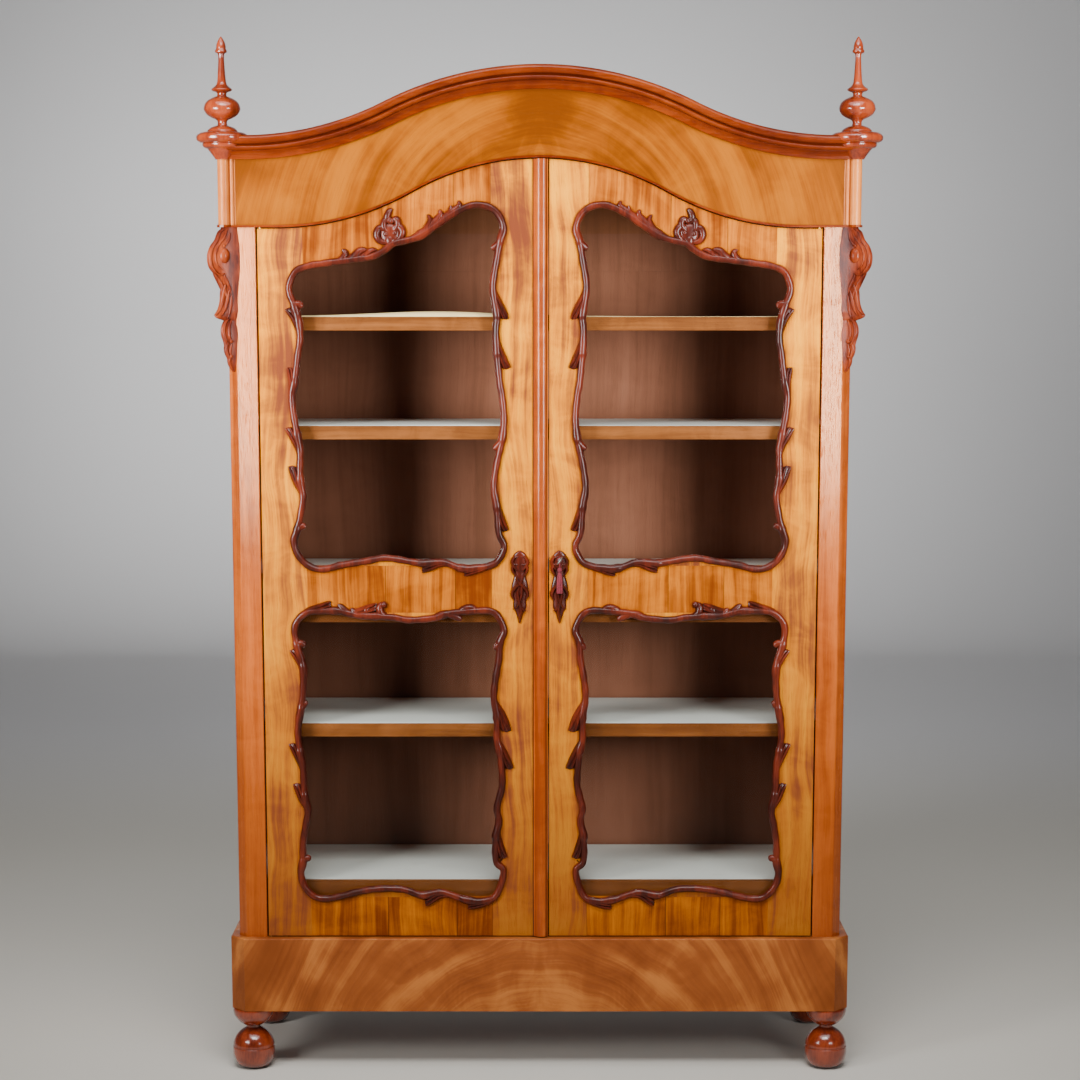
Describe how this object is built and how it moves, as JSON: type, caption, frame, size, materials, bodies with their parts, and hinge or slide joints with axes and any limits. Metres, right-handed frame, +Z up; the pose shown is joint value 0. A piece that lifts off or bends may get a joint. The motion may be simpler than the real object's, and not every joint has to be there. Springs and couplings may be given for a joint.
{
  "type": "display cabinet",
  "caption": "Tall two-door glazed display cabinet with an arched cornice, carved mouldings, finials and turned feet, for showing books, glass or china.",
  "frame": {"origin": "centre of the overall box, on the floor under the feet", "axes": "+X to the cabinet's right as seen from the front, +Y from the front to the back, +Z up; the doors face -Y"},
  "size_m": [1.555, 0.517, 2.415],
  "materials": {
    "frame_veneer": "gloss",
    "flame_veneer": "gloss",
    "post_wood": "gloss",
    "side_wood": "satin",
    "turned_wood": "gloss",
    "carved_wood": "gloss",
    "cornice_wood": "gloss",
    "carcase_wood": "matte",
    "inner_wood": "matte",
    "liner_paper": "matte",
    "window_glass": "gloss",
    "hinge_brass": "satin",
    "lock_steel": "satin",
    "tassel_yarn": "matte"
  },
  "bodies": {
    "carcase": {"back_frame": "carcase_wood", "back_panels": "carcase_wood", "bottom_board": "inner_wood", "brackets": "carved_wood", "capitals": "turned_wood", "columns": "turned_wood", "corner_post_left": "post_wood", "corner_post_right": "post_wood", "cornice_base": "cornice_wood", "cornice_frame": "carcase_wood", "cornice_front": "cornice_wood", "cornice_sides": "cornice_wood", "feet_back": "turned_wood", "feet_front": "turned_wood", "finials": "turned_wood", "frieze": "flame_veneer", "mid_board": "inner_wood", "pivot_plates": "hinge_brass", "plinth_back": "carcase_wood", "plinth_front": "flame_veneer", "plinth_side_left": "flame_veneer", "plinth_side_right": "flame_veneer", "shelf_battens": "inner_wood", "shelf_lower": "inner_wood", "shelf_papers": "liner_paper", "shelf_top": "inner_wood", "shelf_upper": "inner_wood", "side_frame_left": "side_wood", "side_frame_right": "side_wood", "side_panels_left": "side_wood", "side_panels_right": "side_wood", "top_board": "carcase_wood"},
    "door_left": {"door_left_astragal": "carved_wood", "door_left_escutcheon": "carved_wood", "door_left_glass": "window_glass", "door_left_glazing_beads": "inner_wood", "door_left_hinge_stile": "frame_veneer", "door_left_meeting_stile": "frame_veneer", "door_left_moulding": "carved_wood", "door_left_pivots": "hinge_brass", "door_left_rails": "frame_veneer"},
    "door_right": {"door_right_escutcheon": "carved_wood", "door_right_glass": "window_glass", "door_right_glazing_beads": "inner_wood", "door_right_hinge_stile": "frame_veneer", "door_right_meeting_stile": "frame_veneer", "door_right_moulding": "carved_wood", "door_right_pivots": "hinge_brass", "door_right_rails": "frame_veneer", "lock_case": "lock_steel", "key_tassel": "tassel_yarn"},
    "key": {"key": "lock_steel"},
    "lock_bolt": {"lock_bolt": "lock_steel"},
    "flush_bolt_top": {"flush_bolt_top": "hinge_brass"},
    "flush_bolt_bottom": {"flush_bolt_bottom": "hinge_brass"}
  },
  "joints": [
    {"name": "door_left_hinge", "type": "hinge", "parent": "carcase", "child": "door_left", "pos_m": [-0.64, -0.1955, 1.16], "axis": [0, 0, -1], "range_deg": [0, 110]},
    {"name": "door_right_hinge", "type": "hinge", "parent": "carcase", "child": "door_right", "pos_m": [0.64, -0.1955, 1.16], "axis": [0, 0, 1], "range_deg": [0, 110]},
    {"name": "key_turn", "type": "hinge", "parent": "door_right", "child": "key", "pos_m": [0.0465, -0.2015, 1.231], "axis": [0, 1, 0], "range_deg": [0, 360]},
    {"name": "lock_bolt_slide", "type": "slide", "parent": "door_right", "child": "lock_bolt", "axis": [-1, 0, 0], "range_m": [0, 0.011]},
    {"name": "flush_bolt_top_slide", "type": "slide", "parent": "door_left", "child": "flush_bolt_top", "axis": [0, 0, 1], "range_m": [0, 0.014]},
    {"name": "flush_bolt_bottom_slide", "type": "slide", "parent": "door_left", "child": "flush_bolt_bottom", "axis": [0, 0, -1], "range_m": [0, 0.014]}
  ],
  "couplings": [
    {"joint": "key_turn", "follows": "lock_bolt_slide", "rad_per_m": 571}
  ]
}
